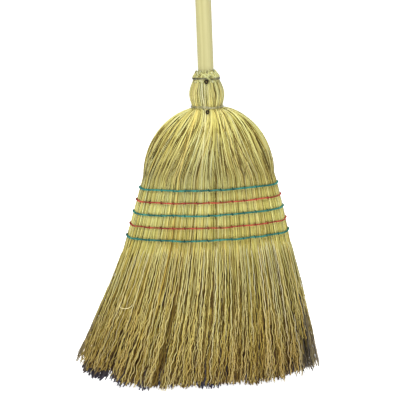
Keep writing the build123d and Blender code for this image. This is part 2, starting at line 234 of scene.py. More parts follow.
# Curl: one pale straw that hangs out of the skirt
curl_middle = -125.0 * mm
curl_height = 123.0 * mm
curl_width = 17.0 * mm
curl_drop = 4.8 * mm
curl_power = 0.7
curl_proud = 3.5 * mm
curl_tuck = 0.2  # how far its ends go into the skirt, as a share of that
curl_thickness = 1.0 * mm
curl_places = 15
curl_samples = 501
curl_tone = 0.98

# Heart: the body inside the stalks, dark with painted shade
heart_drop = 6.0 * mm
heart_rows = 26
heart_corners = 96
heart_feet = in_mm(160, 100, 50)  # its levels in the skirt
heart_fills = (0.55, 0.72, 0.86, 0.92, 0.8)  # scales at its last and first foot, slice, widest level, top
heart_ridge = 0.6 * mm

# Twine
twine_sizes = {"teal": 1.1, "red": 0.85}  # beside the CAD twine
twine_seat = 0.6 * mm  # how far the middle of the twine lies outside the straw at the sides
twine_clearance = 0.3 * mm
twine_wobble = 0.35 * mm
wobble_places = 41
twist_length = 4.4 * mm
twist_places = 9
ply_offset = 0.42
ply_thickness = 1.35
ply_tone = 0.55
stitch_samples = 2001
stitch_places = 9
stitch_slants = (0.2, 0.9)  # in mm
stitch_rise = 1.9 * mm
stitch_proud = 0.2 * mm
stitch_dive = 1.6 * mm
stitch_dive_power = 3
stitch_width = 1.3 * mm
stitch_thickness = 0.9 * mm
stitch_tone = 0.25
knot_turns = 3
knot_step = 0.0028  # between its turns, as a share of the line
knot_places = 13
knot_thickness = 1.1 * mm
knot_tone = 0.3
wrap_reaches = in_mm(4.0, 12.0)  # doubled twine at the right and at the left end of a seam
wrap_parts = (0.6, 1.1)  # of these reaches at the front and at the back
wrap_rise = 1.5 * mm
wrap_power = 0.4
wrap_places = 21
wrap_thickness = 1.5
wrap_tone = 0.4

# Camera
camera_aim = Vector((-0.01508, 0.0, 0.2646))
camera_distance = 1.8
camera_elevation = math.radians(10.0)
camera_roll = math.radians(2.26)
camera_lens = 114.97
camera_sensor = 36.0


class Layer(NamedTuple):
    """One layer of loose fibres, counted round the whole head, with lengths in mm."""

    count: int
    scales: tuple  # of its section beside the head's outline, from and to
    tones: tuple  # middle and spread
    width: float
    cut: tuple  # tips over the cut edge, from and to
    roots: tuple  # upper ends over the slice, from and to
    places: int
    shoots: float  # share of the fibres that branch


cover_layers = (
    # painted shade: the deepest layer is near black and the middle one dark; the last layer's near-black
    # strands on the surface are painted shade in the gaps between the pale ones
    Layer(1100, (0.66, 0.92), (0.04, 0.05), 2.1, (-2, 3), (0, 20), 24, 0.0),
    Layer(420, (0.92, 0.97), (0.21, 0.14), 1.4, (-3, 4), (0, 12), 44, 0.3),
    Layer(310, (0.985, 1.0), (0.87, 0.14), 1.15, (-3, 4), (0, 6), 60, 0.6),
    Layer(260, (0.96, 1.0), (0.72, 0.2), 0.95, (-4, 3), (-150, -60), 36, 0.5),
    Layer(210, (0.97, 1.0), (0.03, 0.05), 1.05, (-2, 6), (-130, -30), 36, 0.0),
)
core_layer = Layer(1500, (0.2, 0.92), (0.4, 0.3), 2.4, (2, 6), (-20, 20), 14, 0.0)
left_fill = Layer(300, (0.75, 0.95), (0.3, 0.2), 2.2, (-3, 5), (-150, -60), 16, 0.0)
right_fill = Layer(240, (0.74, 0.94), (0.25, 0.2), 2.2, (2, 9), (-170, -110), 14, 0.0)
right_edge = Layer(190, (0.86, 1.01), (0.58, 0.42), 1.6, (-5, 9), (-150, -75), 24, 0.0)
left_edge = Layer(24, (0.985, 1.01), (0.75, 0.12), 1.6, (-2, 10), (-130, -70), 20, 0.0)

# Layers at one side of the head, with that side and how far they spread round the outline
dark_sides = ((left_fill, left_side, 0.055), (right_fill, right_side, 0.036))
weathered_sides = ((right_edge, right_side, 0.021), (left_edge, left_side, 0.008))  # bare strands


def box_middle(node):
    """Middle of a CAD node's box."""
    low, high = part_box(node)
    return (low + high) / 2


def box_size(node):
    """Size of a CAD node's box."""
    low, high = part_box(node)
    return high - low


# Levels and half sizes read from the frame
collar_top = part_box("front_cover")[1].z
upper_wire_height = box_middle("upper_neck_wire").z
lower_wire_height = box_middle("lower_neck_wire").z
upper_neck_radius = box_size("upper_neck_wire").x / 2 - wire_diameter - wire_clearance
lower_neck_radius = box_size("lower_neck_wire").x / 2 - wire_diameter - wire_clearance
seam_heights = [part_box(node)[1].z - knot_radius for node in seam_nodes]
seam_sags = [box_size(node).z - knot_radius - twine_radius for node in seam_nodes]
collar_bottom = upper_wire_height + wire_seat
bulb_top = upper_wire_height - wire_seat
bulb_bottom = lower_wire_height + wire_seat
dome_top = lower_wire_height - wire_seat
widest_height = seam_heights[0] + dome_drop
slice_height = seam_heights[-1] - slice_drop
fine_groups = (  # number round the whole head, width, tones, and heights of the lower ends
    (1000, 1.25 * mm, (0.59, 0.17), (slice_height - 45 * mm, slice_height + 5 * mm)),
    # the second group is dark: painted shade in the gaps between the stalks over the dome
    (520, 1.15 * mm, (0.17, 0.1), (seam_heights[0] - 16 * mm, seam_heights[0] + 22 * mm)),
)


# Shape of the head


def passed(value, first, last):
    """How far a value has come from a first to a last one, from 0 to 1."""
    return np.clip((value - first) / (last - first), 0, 1)


def neck_radius(z):
    """Radius of the round neck: collar, wire seats and the bulb between them."""
    collar_share = np.clip((z - collar_bottom) / (collar_top - collar_bottom), 0, collar_overrun)
    bulb_share = passed(z, bulb_top, bulb_bottom)
    level = upper_neck_radius + (lower_neck_radius - upper_neck_radius) * bulb_share
    bulge = bulb_radius - (upper_neck_radius + lower_neck_radius) / 2
    return level + bulge * np.sin(np.pi * bulb_share) + (collar_radius - upper_neck_radius) * collar_share


def shares_down(z):
    """Shares of dome, sewn part and skirt that are passed at a height."""
    skirt = np.clip(1 - z / slice_height, 0, 1)
    return passed(z, dome_top, widest_height), passed(z, widest_height, slice_height), skirt


def half_sizes(z):
    """Half width and half depth of the head at a height."""
    dome, sewn, skirt = shares_down(z)
    swell = (dome * (2 - dome)) ** dome_fullness
    press = dome * dome * (3 - 2 * dome)
    width = neck_radius(z) + (dome_half_width - lower_neck_radius) * swell
    width = width + (sewn_half_width - dome_half_width) * sewn + (tip_half_width - sewn_half_width) * skirt
    depth = neck_radius(z) + (dome_half_depth - lower_neck_radius) * swell
    depth = depth - (dome_half_depth - sewn_half_depth) * press
    depth = depth + (tip_half_depth - sewn_half_depth) * skirt
    return width, depth


def centre(z):
    """X of the middle of a section: the loose straw leans to one side."""
    return -skirt_lean * np.clip(1 - z / dome_top, 0, 1) ** lean_power


def oval(share, width, depth, side=None):
    """Point, outward direction and length of a four-arc outline."""
    side = side_roundness * depth if side is None else side
    reach = width - side
    long = (reach**2 + depth**2 - side**2) / (2 * (depth - side))
    turn = np.arcsin(np.minimum(1.0, reach / (long - side)))
    long_run = long * turn
    quarter = long_run + side * (np.pi / 2 - turn)
    share = share % 1.0
    run = np.minimum(share % 0.5, 0.5 - share % 0.5) * 4 * quarter
    on_long = run <= long_run
    angle = np.where(on_long, run / long, turn + (run - long_run) / side)
    x_sign = np.where(share < 0.5, 1.0, -1.0)
    y_sign = np.where((share < right_side) | (share >= left_side), -1.0, 1.0)
    x_out = x_sign * np.sin(angle)
    y_out = y_sign * np.cos(angle)
    radius = np.where(on_long, long, side)
    x = x_sign * np.where(on_long, 0.0, width - side) + radius * x_out
    y = y_sign * np.where(on_long, depth - long, 0.0) + radius * y_out
    return x, y, x_out, y_out, 4 * quarter


def surface(share, z, scale=1.0):
    """Points of the head's outside and their outward directions. A scale below 1 lies inside."""
    x, y, x_out, y_out, _ = oval(share, *half_sizes(z))
    points = np.stack(np.broadcast_arrays(centre(z) + scale * x, scale * y, z), axis=-1)
    outward = np.stack(np.broadcast_arrays(x_out, y_out, np.zeros_like(z)), axis=-1)
    return points, outward


def front_shares(x, line, samples):
    """Shares of an outline's front that lie at places across it."""
    fine = np.linspace(-right_side, right_side, samples)
    return np.interp(x, line(fine)[0][:, 0], fine)


# Strands as tubes


def unit(vectors):
    """Vectors of length 1."""
    tiny = 1e-12
    return vectors / np.maximum(np.linalg.norm(vectors, axis=-1, keepdims=True), tiny)


def frames(points, outward):
    """Sideways and outward directions square to each strand."""
    along = unit(np.gradient(points, axis=1))
    side = unit(np.cross(outward, along))
    return side, np.cross(along, side)


def moved(points, outward, sideways, inwards):
    """Points moved sideways and inwards, square to their strands."""
    side, out = frames(points, outward)
    return points + side * sideways[..., None] - out * inwards[..., None]


class Bundle:
    """Tubes of straw or twine, gathered into one mesh."""

    def __init__(self):
        self.groups = []

    def add(self, points, outward, width, thickness, tone, sides=4):
        """Add strands: points (strands, places, 3), sizes per place, and a tone per strand."""
        side, out = frames(points, outward)
        shape = points.shape[:2]
        width = np.broadcast_to(width, shape)[..., None, None] / 2
        thickness = np.broadcast_to(thickness, shape)[..., None, None] / 2
        turn = (2 * np.pi * (np.arange(sides) + 0.5) / sides)[None, None, :, None]
        ring = points[:, :, None] + width * np.cos(turn) * side[:, :, None]
        ring = ring + thickness * np.sin(turn) * out[:, :, None]
        ring[..., 2] = np.maximum(ring[..., 2], 0.0)
        self.groups.append((ring, np.broadcast_to(tone, shape[:1])))

    def build(self, name):
        """Make the mesh, with the attributes tone and seed and one cell of the bake map per strand."""
        cells = Cells(sum(len(tone) for ring, tone in self.groups))
        parts = []
        first_vertex = 0
        first_strand = 0
        for ring, tone in self.groups:
            count, places, sides = ring.shape[:3]
            index = first_vertex + np.arange(count * places * sides).reshape(count, places, sides)
            maps = cells.walls(first_strand, count, places, sides)
            tones = np.repeat(tone, places * sides)
            seeds = np.repeat(random.random(count), places * sides)
            parts.append((ring.reshape(-1, 3), *tube_faces(index), maps, tones, seeds))
            first_vertex += index.size
            first_strand += count
        corners, loops, sizes, smooth, maps, tones, seeds = (np.concatenate(rows) for rows in zip(*parts))
        mesh = bpy.data.meshes.new(name)
        fill_mesh(mesh, corners, loops, sizes)
        mesh.polygons.foreach_set("use_smooth", smooth)
        mesh.uv_layers.new(name="OFBake").data.foreach_set("uv", maps.ravel())
        for word, values in (("tone", tones), ("seed", seeds)):
            mesh.attributes.new(word, "FLOAT", "POINT").data.foreach_set("value", values)
        mesh.update()
        return linked(name, mesh)


def tube_faces(index):
    """Corners of the walls and end caps of tubes, the size of each face and whether it is smooth."""
    after = np.roll(index, -1, axis=2)
    walls = np.stack([index[:, :-1], after[:, :-1], after[:, 1:], index[:, 1:]], axis=-1)
    loops = np.concatenate([walls.ravel(), index[:, 0, ::-1].ravel(), index[:, -1].ravel()])
    kinds = (walls.size // 4, 2 * len(index))
    return loops, np.repeat([4, index.shape[2]], kinds), np.repeat([True, False], kinds)


class Cells:
    """Bake map cut into one tall cell per strand, with a column for each of its sides."""

    tallness = 14.0
    margin = 0.06
    cap_reach = 0.4

    def __init__(self, strands):
        self.columns = math.ceil(math.sqrt(strands * self.tallness))
        self.rows = math.ceil(strands / self.columns)

    def place(self, strand, across, down):
        """Map coordinates of a place in strands' cells."""
        across = self.margin + across * (1 - 2 * self.margin)
        down = self.margin + down * (1 - 2 * self.margin)
        u = (strand % self.columns + across) / self.columns
        v = (strand // self.columns + down) / self.rows
        return np.stack(np.broadcast_arrays(u, v), axis=-1)

    def walls(self, first, count, places, sides):
        """Map coordinates of a group's walls, first caps and last caps."""
        strand = (first + np.arange(count))[:, None, None, None]
        down = np.arange(places - 1)[None, :, None, None] + np.array([0, 0, 1, 1])
        across = np.arange(sides)[None, None, :, None] + np.array([0, 1, 1, 0])
        walls = self.place(strand, across / sides, down / (places - 1))
        turn = 2 * np.pi * np.arange(sides) / sides
        cap_across = 0.5 + self.cap_reach * np.cos(turn)
        cap_down = 0.5 * self.margin * (1 + np.sin(turn)) / 2
        first_caps = self.place(strand[:, 0, 0], cap_across[::-1], cap_down[::-1] - self.margin / 2)
        last_caps = self.place(strand[:, 0, 0], cap_across, 1 + cap_down)
        return np.concatenate([part.reshape(-1, 2) for part in (walls, first_caps, last_caps)])


def fill_mesh(mesh, corners, loops, sizes):
    """Put corners and faces into an empty mesh."""
    mesh.vertices.add(len(corners))
    mesh.vertices.foreach_set("co", corners.ravel())
    mesh.loops.add(len(loops))
    mesh.loops.foreach_set("vertex_index", loops)
    mesh.polygons.add(len(sizes))
    starts = np.concatenate([[0], np.cumsum(sizes)[:-1]])
    mesh.polygons.foreach_set("loop_start", starts)
    mesh.update(calc_edges=True)


def linked(name, data):
    """New object in the scene."""
    made = bpy.data.objects.new(name, data)
    bpy.context.scene.collection.objects.link(made)
    return made


# Scatter


def draws(span, count):
    """A random number from a range for each strand, as a column."""
    return random.uniform(*span, (count, 1))


def random_tones(tones, count, brightest, shade=0.0):
    """A random tone for each strand, darker by the painted shade given for it."""
    middle, spread = tones
    return np.clip(middle + spread * random.normal(0, 1, count) - shade, 0, brightest)


def scattered(count, first, last):
    """Shares of the outline in order, each moved a little from its even place."""
    most = 0.45
    even = np.arange(count) + 0.5 + random.uniform(-most, most, count)
    return first + even * (last - first) / count


def drift(count, steps, slope):
    """Drift of strands: slopes that change slowly, added up over the steps of their path."""
    memory = 0.72
    kick = math.sqrt(1 - memory**2)
    bend = np.zeros((count, len(steps)))
    for j in range(1, len(steps)):
        bend[:, j] = memory * bend[:, j - 1] + kick * random.normal(0, 1, count)
    return np.cumsum(bend * slope * steps, axis=1)


def step_lengths(points):
    """Mean distance between the places of a group of strands."""
    gaps = np.linalg.norm(np.diff(points, axis=1), axis=2).mean(axis=0)
    return np.concatenate([[0.0], gaps])


def crinkle(run, strength):
    """Short and long waves along strands, which differ from strand to strand."""
    total = np.zeros_like(run)
    for height, lengths in crinkles:
        length = draws(lengths, len(run))
        phase = draws((0, 2 * np.pi), len(run))
        total += height * length * np.sin(2 * np.pi * run / length + phase)
    return strength * total


# Stalks


def levels_down(top, tip):
    """Heights of stalks' places, from their cut ends above the wire to their tips."""
    neck, dome, sewn, skirt = stalk_places
    in_neck = dome_top + (top - dome_top) * np.linspace(1, 0, neck)
    in_dome = dome_top - (dome_top - widest_height) * (np.arange(1, dome + 1) / dome) ** 2
    in_sewn = np.linspace(widest_height, slice_height, sewn + 1)[1:]
    in_skirt = slice_height + (tip - slice_height) * np.linspace(0, 1, skirt + 1)[1:]
    shared = np.broadcast_to(np.concatenate([in_dome, in_sewn]), (len(top), dome + sewn))
    return np.concatenate([in_neck, shared, in_skirt], axis=1)


def seam_pinch(points):
    """How far the seams hold the straw in, from 0 between them to 1 under the twine."""
    _, depth = half_sizes(points[..., 2])
    inward = np.abs(points[..., 1]) / depth
    total = np.zeros(points.shape[:2])
    for height, sag in zip(seam_heights, seam_sags):
        total += np.exp(-(((points[..., 2] - height + sag * inward) / pinch_reach) ** 2))
    return np.clip(total, 0, 1)


def puff(points, outward):
    """How far the straw swells out between the seams and at the sides, where it carries the twine."""
    z = points[..., 2]
    above = np.clip((seam_heights[0] + upper_fade - z) / upper_fade, 0, 1)
    below = np.clip((z - seam_heights[-1] + lower_fade) / lower_fade, 0, 1)
    pinch = seam_pinch(points)
    at_side = side_swell * (1 - side_pinch * pinch) * outward[..., 0] ** 2
    return (pillow * (1 - pinch) + at_side) * above * below


def bed_depth(z):
    """Depth of the layer of stalks: deep in the narrow neck, thin where they spread out."""
    width, depth = half_sizes(z)
    length = oval(np.zeros_like(z), width, depth)[-1]
    packed = stalk_count * stalk_widths[1] ** 2 * stalk_flatness / length
    return np.minimum(packed, bed_limit * depth)


def tip_heights(x):
    """Height of the straw's cut edge over the floor, which rises towards both corners."""
    across = (x - centre(np.zeros(1))) / tip_half_width
    lift = left_lift * passed(-across, *left_lift_range)
    corner = corner_rise * passed(-across, corner_start, 1)
    return tip_rise * np.abs(across) ** tip_power + tip_tilt * np.maximum(across, 0) + lift + corner


def fanned(share, z):
    """Shares of the outline along strands that run straight over the dome's front and back."""
    dome = shares_down(z)[0]
    width = half_sizes(np.maximum(z, widest_height))[0]
    straight = lower_neck_radius + (dome_half_width - lower_neck_radius) * dome**fan_power
    from_middle = (share + right_side) % 0.5 - right_side
    narrowing = np.where(z < dome_top, 1 - np.minimum(straight / width, 1), 0.0)
    to_side = (np.abs(from_middle) / right_side) ** fan_side_power
    twist = neck_twist * (1 - dome) ** 2
    return share - from_middle * narrowing * (1 - to_side) + np.where(z < dome_top, twist, neck_twist)


def crossing(share, z):
    """Shares of the outline along stalks that cross each other in the dome and in the neck."""
    spread = np.sqrt(shares_down(z)[0])
    in_dome = random.normal(0, neck_crossing, share.shape) * (1 - spread)
    in_neck = random.normal(0, bulb_crossing, share.shape) * passed(z, dome_top, collar_top)
    return fanned(share, z) + in_dome + in_neck


def clear_nails(points):
    """Hold the straw back under the heads of the nails."""
    for node in nail_nodes:
        low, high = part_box(node)
        middle = (low + high) / 2
        away = np.hypot(points[..., 0] - middle.x, points[..., 2] - middle.z)
        under = (away < (high.x - low.x) / 2 + nail_margin) & (points[..., 1] < 0)
        behind = low.y + nail_head_height + nail_margin
        points[..., 1] = np.where(under, np.maximum(points[..., 1], behind), points[..., 1])


def stalks(bundle, count, first, last):
    """Long strands on the outside of one bundle, from the collar to the tips."""
    share = scattered(count, first, last)
    rank = random.random((count, 1))
    top = upper_wire_height + draws(stalk_ends, count)
    x = surface(share, np.zeros(count))[0][:, 0]
    tip = tip_heights(x) + random.uniform(*stalk_cut, count) + worn_corner(x)
    z = levels_down(top, tip[:, None])
    points, outward = surface(crossing(share[:, None], z), z)
    dome, sewn, skirt = shares_down(z)
    size = draws(stalk_sizes, count)
    width = size * np.interp(dome + sewn + skirt, range(len(stalk_widths)), stalk_widths)
    inset = rank * (bed_depth(z) + stalk_sink * skirt) + width * stalk_flatness / 2
    inset = inset - puff(points, outward)
    steps = step_lengths(points)
    sideways = drift(count, steps, stalk_drift) + crinkle(collar_top - z, skirt**stalk_loose_power)
    wave = np.abs(drift(count, steps, stalk_weave)) * skirt
    points = moved(points, outward, sideways, inset + wave)
    clear_nails(points)
    tone = random_tones(stalk_tones, count, brightest_stalk, stalk_painted_shade * rank[:, 0])
    tone = np.where(random.random(count) < dark_stalks, random.uniform(*dark_tones, count), tone)
    bundle.add(points, outward, width, width * stalk_flatness, tone)


def fine_stalks(bundle, group, first, last):
    """Thinner strands that come up between the stalks where the dome spreads them."""
    number, full_width, tones, ends = group
    count = round(number * (last - first))
    share = scattered(count, first, last)[:, None]
    start = draws(fine_roots, count)
    along = np.linspace(0, 1, fine_places)[None, :] ** fine_bias
    top = dome_top - (dome_top - widest_height) * start**2
    tip = draws(ends, count)
    z = top + (tip - top) * along
    turned = share + random.normal(0, fine_crossing, (count, 1)) * (1 - along) ** 2
    points, outward = surface(fanned(turned, z), z)
    rank = random.random((count, 1))
    hidden = np.clip(fine_dive * np.abs(2 * along - 1) - (fine_dive - 1), 0, 1)
    swell = fine_start + (1 - fine_start) * np.clip(along / fine_swell, 0, 1)
    width = full_width * draws(fine_sizes, count) * swell
    inset = rank * bed_depth(z) + fine_sink * hidden + width * stalk_flatness / 2 - puff(points, outward)
    steps = step_lengths(points)
    loose = fine_looseness * np.sqrt(shares_down(z)[2])
    sideways = drift(count, steps, fine_drift + fine_drift_gain * along) + crinkle(dome_top - z, loose)
    wave = np.abs(drift(count, steps, fine_weave))
    points = moved(points, outward, sideways, inset + wave)
    tone = random_tones(tones, count, brightest_stalk, fine_painted_shade * rank[:, 0])
    bundle.add(points, outward, width, width * stalk_flatness, tone, sides=3)


def stubs(bundle, count, first, last):
    """Trimmed ends round the collar, which lean all ways. A few lie over the wire."""
    share = scattered(count, first, last)[:, None]
    top = collar_top + draws(stub_ends, count)
    root = upper_wire_height - draws(stub_roots, count)
    along = np.linspace(0, 1, stub_places)[None, :]
    z = root + (top - root) * along
    turned = share + random.normal(0, stub_crossing, (count, 1)) * (along - stub_pivot)
    points, outward = surface(turned, z)
    above = np.clip((z - upper_wire_height - wire_diameter) / (top - upper_wire_height - wire_diameter), 0, 1)
    bulge = draws((0, stub_overhang), count) * np.sin(np.pi * np.sqrt(above))
    lean = draws(stub_leans, count) * stub_lean * above**2
    width = stub_width * draws(stub_sizes, count) * np.ones_like(z)
    near, far = loose_range
    in_range = (outward[..., 0] > near) & (outward[..., 0] < far)
    loose = (random.random((count, 1)) < loose_stubs) & in_range
    over_wire = np.exp(-(((z - upper_wire_height) / wire_hump) ** 2))
    hump = np.where(loose, (wire_diameter + 2 * wire_clearance + width * stalk_flatness) * over_wire, 0.0)
    inset = width * stalk_flatness / 2 - bulge - lean - hump
    points = moved(points, outward, np.zeros_like(z), inset)
    clear_nails(points)
    tone = random_tones(stub_tones, count, brightest_stalk)
    bundle.add(points, outward, width, width * stalk_flatness, tone)


# Loose straw


class Tufts:
    """Tufts that the loose fibres gather into towards their tips."""

    def __init__(self, count):
        share = random.random(count)
        scale = np.sqrt(random.uniform(*tuft_areas, count))
        self.places = surface(share, np.zeros(count), scale)[0][:, :2]
        self.lengths = random.uniform(*tuft_lengths, count)

    def nearest(self, tips):
        """Step to the nearest tuft, how far off it is and its own extra height."""
        steps = self.places[None] - tips[:, None, :2]
        distance = np.linalg.norm(steps * np.array([1.0, tuft_depth_weight]), axis=2)
        chosen = distance.argmin(axis=1)
        rows = np.arange(len(tips))
        return steps[rows, chosen], distance[rows, chosen], self.lengths[chosen]


tufts = Tufts(tuft_count)


def worn_corner(x):
    """Height that the outer straw has lost at both corners, where the dark core shows."""
    low, high = surface(np.array([left_side, right_side]), np.zeros(2))[0][:, 0]
    right = np.clip((x - high + right_wear_width) / right_wear_fade, 0, 1)
    right = right * random.uniform(*right_wear, len(x))
    left = np.clip((low + left_wear_width - x) / left_wear_fade, 0, 1)
    return right + left * random.uniform(*left_wear, len(x))


def notched(x, notches):
    """Height that is missing at places along the cut edge."""
    total = np.zeros_like(x)
    for place, depth, half_width in notches:
        total += depth * np.exp(-(((x - place) / half_width) ** 2))
    return total


def fibre_tips(layer, base, worn):
    """Heights of the tips of loose fibres, and the steps to the tufts that draw them in."""
    x = base[:, 0]
    pull, distance, length = tufts.nearest(base)
    gathered = passed(np.abs(x - centre(0.0)) / tip_half_width, 1, free_edge)
    tip = tip_heights(x) + random.uniform(*in_mm(*layer.cut), len(x)) + notched(x, cut_notches)
    if worn:
        tuft = tuft_notch * np.clip(distance / tuft_reach, 0, tuft_limit) ** tuft_power + length
        tip = tip + tuft * gathered + worn_corner(x) + notched(x, dark_tufts)
    else:
        tip = tip - notched(x, dark_tufts)
    return np.maximum(tip, 0)[:, None], pull * gathered[:, None]


def fibres(bundle, layer, share, worn=False):
    """Loose fibres from under the seams to the tips, wavier and more tufted lower down."""
    count = len(share)
    inner, outer = layer.scales
    scale = np.sqrt(random.uniform(inner**2, outer**2, count))
    base, _ = surface(share, np.zeros(count), scale)
    tip, pull = fibre_tips(layer, base, worn)
    top = slice_height + draws(in_mm(*layer.roots), count)
    along = np.linspace(0, 1, layer.places)[None, :]
    z = top + (tip - top) * along
    points, outward = surface(share[:, None], z, scale[:, None])
    skirt = shares_down(z)[2]
    steps = step_lengths(points)
    slant = random.normal(0, fibre_slant, (count, 1)) * (top - z)
    loose = seam_looseness + (1 - seam_looseness) * skirt**loose_power
    sideways = slant * skirt + drift(count, steps, fibre_drift) + crinkle(top - z, loose)
    inwards = drift(count, steps, fibre_weave) + fibre_sink * np.clip(1 - fibre_dive * along, 0, 1)
    points = moved(points, outward, sideways, inwards)
    points[..., :2] += tuft_pull * pull[:, None] * (skirt**pull_power)[..., None]
    width = layer.width * mm * draws(fibre_sizes, count) * (1 - fibre_taper * skirt)
    tone = random_tones(layer.tones, count, brightest_fibre)
    bundle.add(points, outward, width, width * fibre_flatness, tone, sides=3)
    branches(bundle, points, outward, width, tone, layer.shoots)


def branches(bundle, points, outward, width, tone, share):
    """Thin side shoots that leave some fibres part of the way down."""
    chosen = np.flatnonzero(random.random(len(points)) < share)
    count = len(chosen)
    if count == 0:
        return
    places = points.shape[1]
    length = places // shoot_part
    steps = np.arange(length)
    row = random.integers(places // shoot_start, places - length, (count, 1)) + steps
    strand = chosen[:, None]
    face = outward[strand, row]
    lean = random.choice([-1, 1], (count, 1)) * draws(shoot_leans, count) * mm
    bow = (steps / steps[-1]) ** shoot_bow
    lift = draws(shoot_lifts, count) * mm
    path = moved(points[strand, row], face, lean * bow, -lift * bow)
    thin = shoot_width * width[strand, row]
    bundle.add(path, face, thin, thin * fibre_flatness, tone[chosen], sides=3)


def cover_bundle(first, last):
    """Stalks and loose fibres of one outer bundle."""
    upper, lower = Bundle(), Bundle()
    part = last - first
    stalks(upper, round(stalk_count * part), first, last)
    for group in fine_groups:
        fine_stalks(upper, group, first, last)
    stubs(upper, round(stub_count * part), first, last)
    for layer in cover_layers:
        fibres(lower, layer, scattered(round(layer.count * part), first, last), worn=True)
    return upper, lower


def side_fibres(bundle, rows):
    """Inner fibres that show at the left and the right side of the head."""
    for layer, side, spread in rows:
        fibres(bundle, layer, side + random.normal(0, spread, layer.count))
    return bundle


def core_bundle():
    """Dark inner fibres, which show at the cut edge, at the corners and through gaps in the covers."""
    bundle = Bundle()
    fibres(bundle, core_layer, random.random(core_layer.count))
    return side_fibres(bundle, dark_sides)


def curl(bundle):
    """Pale straw that hangs out of the front of the skirt in a small loop."""
    turn = np.linspace(0, np.pi, curl_places)
    x = curl_middle - curl_width / 2 * np.cos(turn)
    share = front_shares(x, lambda fine: surface(fine, np.full_like(fine, curl_height)), curl_samples)
    points, outward = surface(share, curl_height - curl_drop * np.sin(turn) ** curl_power)
    points = points + outward * (curl_proud * ((1 + curl_tuck) * np.sin(turn) - curl_tuck))[:, None]
    bundle.add(points[None], outward[None], curl_thickness, curl_thickness, curl_tone, sides=5)


def heart(name):
    """Body inside the stalks, which closes the gaps between them; its dark colour is painted shade."""
    levels = np.concatenate([np.linspace(dome_top - heart_drop, slice_height, heart_rows), heart_feet])
    known = (heart_feet[-1], heart_feet[0], slice_height, widest_height, dome_top)
    fill = np.interp(levels, known, heart_fills)
    share = np.arange(heart_corners) / heart_corners
    points, outward = surface(share[None, :], levels[:, None], fill[:, None])
    points = points + outward * (heart_ridge * random.normal(0, 1, (1, heart_corners, 1)))
    index = np.arange(points.size // 3).reshape(points.shape[:2])
    after = np.roll(index, -1, axis=1)
    walls = np.stack([after[:-1], index[:-1], index[1:], after[1:]], axis=-1)
    loops = np.concatenate([walls.ravel(), index[0], index[-1, ::-1]])
    sizes = np.concatenate([np.full(walls.size // 4, 4), [heart_corners, heart_corners]])
    mesh = bpy.data.meshes.new(name)
    fill_mesh(mesh, points.reshape(-1, 3), loops, sizes)
    return linked(name, mesh)


# Twine


class Girdle:
    """Line of one seam round the head, with its sag at the front and the back."""

    def __init__(self, node):
        low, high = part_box(node)
        self.height = high.z - knot_radius
        self.sag = high.z - low.z - knot_radius - twine_radius
        self.middle = (low.x + high.x) / 2
        width, depth = (float(size) for size in half_sizes(np.array(self.height)))
        self.reach = width - stitch_side_margin
        self.width = width + twine_seat
        self.depth = depth + twine_radius + twine_clearance
        self.side = side_roundness * depth + twine_radius
        self.length = float(oval(0.0, self.width, self.depth, self.side)[-1])

    def at(self, share):
        """Points and outward directions at shares of the line."""
        x, y, x_out, y_out, _ = oval(share, self.width, self.depth, self.side)
        z = self.height - self.sag * np.abs(y) / self.depth
        points = np.stack([self.middle + x, y, z], axis=-1)
        outward = np.stack([x_out, y_out, np.zeros_like(x)], axis=-1)
        return points, outward

    def stitch_shares(self):
        """Shares of the line where stitches cross it, at the front and at the back."""
        half_count = int(self.reach / stitch_pitch)
        places = self.middle + stitch_pitch * np.arange(-half_count, half_count + 1)
        front = front_shares(places, self.at, stitch_samples)
        return np.concatenate([front, 0.5 - front])


def plies(bundle, girdle, size):
    """Two-ply twine right round one seam."""
    twists = round(girdle.length / twist_length)
    share = np.linspace(0, 1, twist_places * twists + 1)
    points, outward = girdle.at(share)
    knots = np.linspace(0, 1, wobble_places)
    points[:, 2] += np.interp(share, knots, random.normal(0, twine_wobble, len(knots)))
    thickness = ply_thickness * size * twine_radius
    for ply in (0, 1):
        turn = 2 * np.pi * twists * share + np.pi * ply
        offset = np.cos(turn)[:, None] * outward + np.sin(turn)[:, None] * up
        line = points + ply_offset * size * twine_radius * offset
        bundle.add(line[None], outward[None], thickness, thickness, ply_tone, sides=6)


def stitches(bundle, girdle):
    """Short loops over the twine where the needle went through."""
    base, face = girdle.at(girdle.stitch_shares())
    arch = np.linspace(-1, 1, stitch_places)
    slant = draws(stitch_slants, len(base)) * mm
    across = unit(np.cross(face, up))
    rise = stitch_rise * np.sin(arch * np.pi / 2)
    proud = (twine_radius + stitch_proud) * np.cos(arch * np.pi / 2)
    proud = proud - stitch_dive * np.abs(arch) ** stitch_dive_power
    path = base[:, None] + face[:, None] * proud[None, :, None] + up * rise[None, :, None]
    path = path + across[:, None] * (slant * arch)[..., None]
    outward = np.repeat(face[:, None], stitch_places, axis=1)
    bundle.add(path, outward, stitch_width, stitch_thickness, stitch_tone, sides=6)


def side_knots(bundle, girdle):
    """Turns of twine that tie the front and the back of one seam together at both sides."""
    steps = knot_step * (np.arange(knot_turns) - 1)
    base, face = girdle.at(np.concatenate([right_side + steps, left_side + steps]))
    turn = np.linspace(0, 2 * np.pi, knot_places)
    ring = np.cos(turn)[None, :, None] * face[:, None] + np.sin(turn)[None, :, None] * up
    path = base[:, None] + twine_radius * ring
    bundle.add(path, ring, knot_thickness, knot_thickness, knot_tone, sides=5)


def end_wraps(bundle, girdle, size):
    """Twine that runs doubled round both sides of one seam."""
    thickness = wrap_thickness * size * twine_radius
    bow = np.sin(np.linspace(0, np.pi, wrap_places)) ** wrap_power
    for side, reach in zip((right_side, left_side), wrap_reaches):
        ahead, behind = random.uniform(*wrap_parts, 2) * reach / girdle.length
        points, outward = girdle.at(side + np.linspace(-behind, ahead, wrap_places))
        points = points + up * (wrap_rise * bow)[:, None] - outward * (twine_radius * (1 - bow))[:, None]
        bundle.add(points[None], outward[None], thickness, thickness, wrap_tone, sides=6)


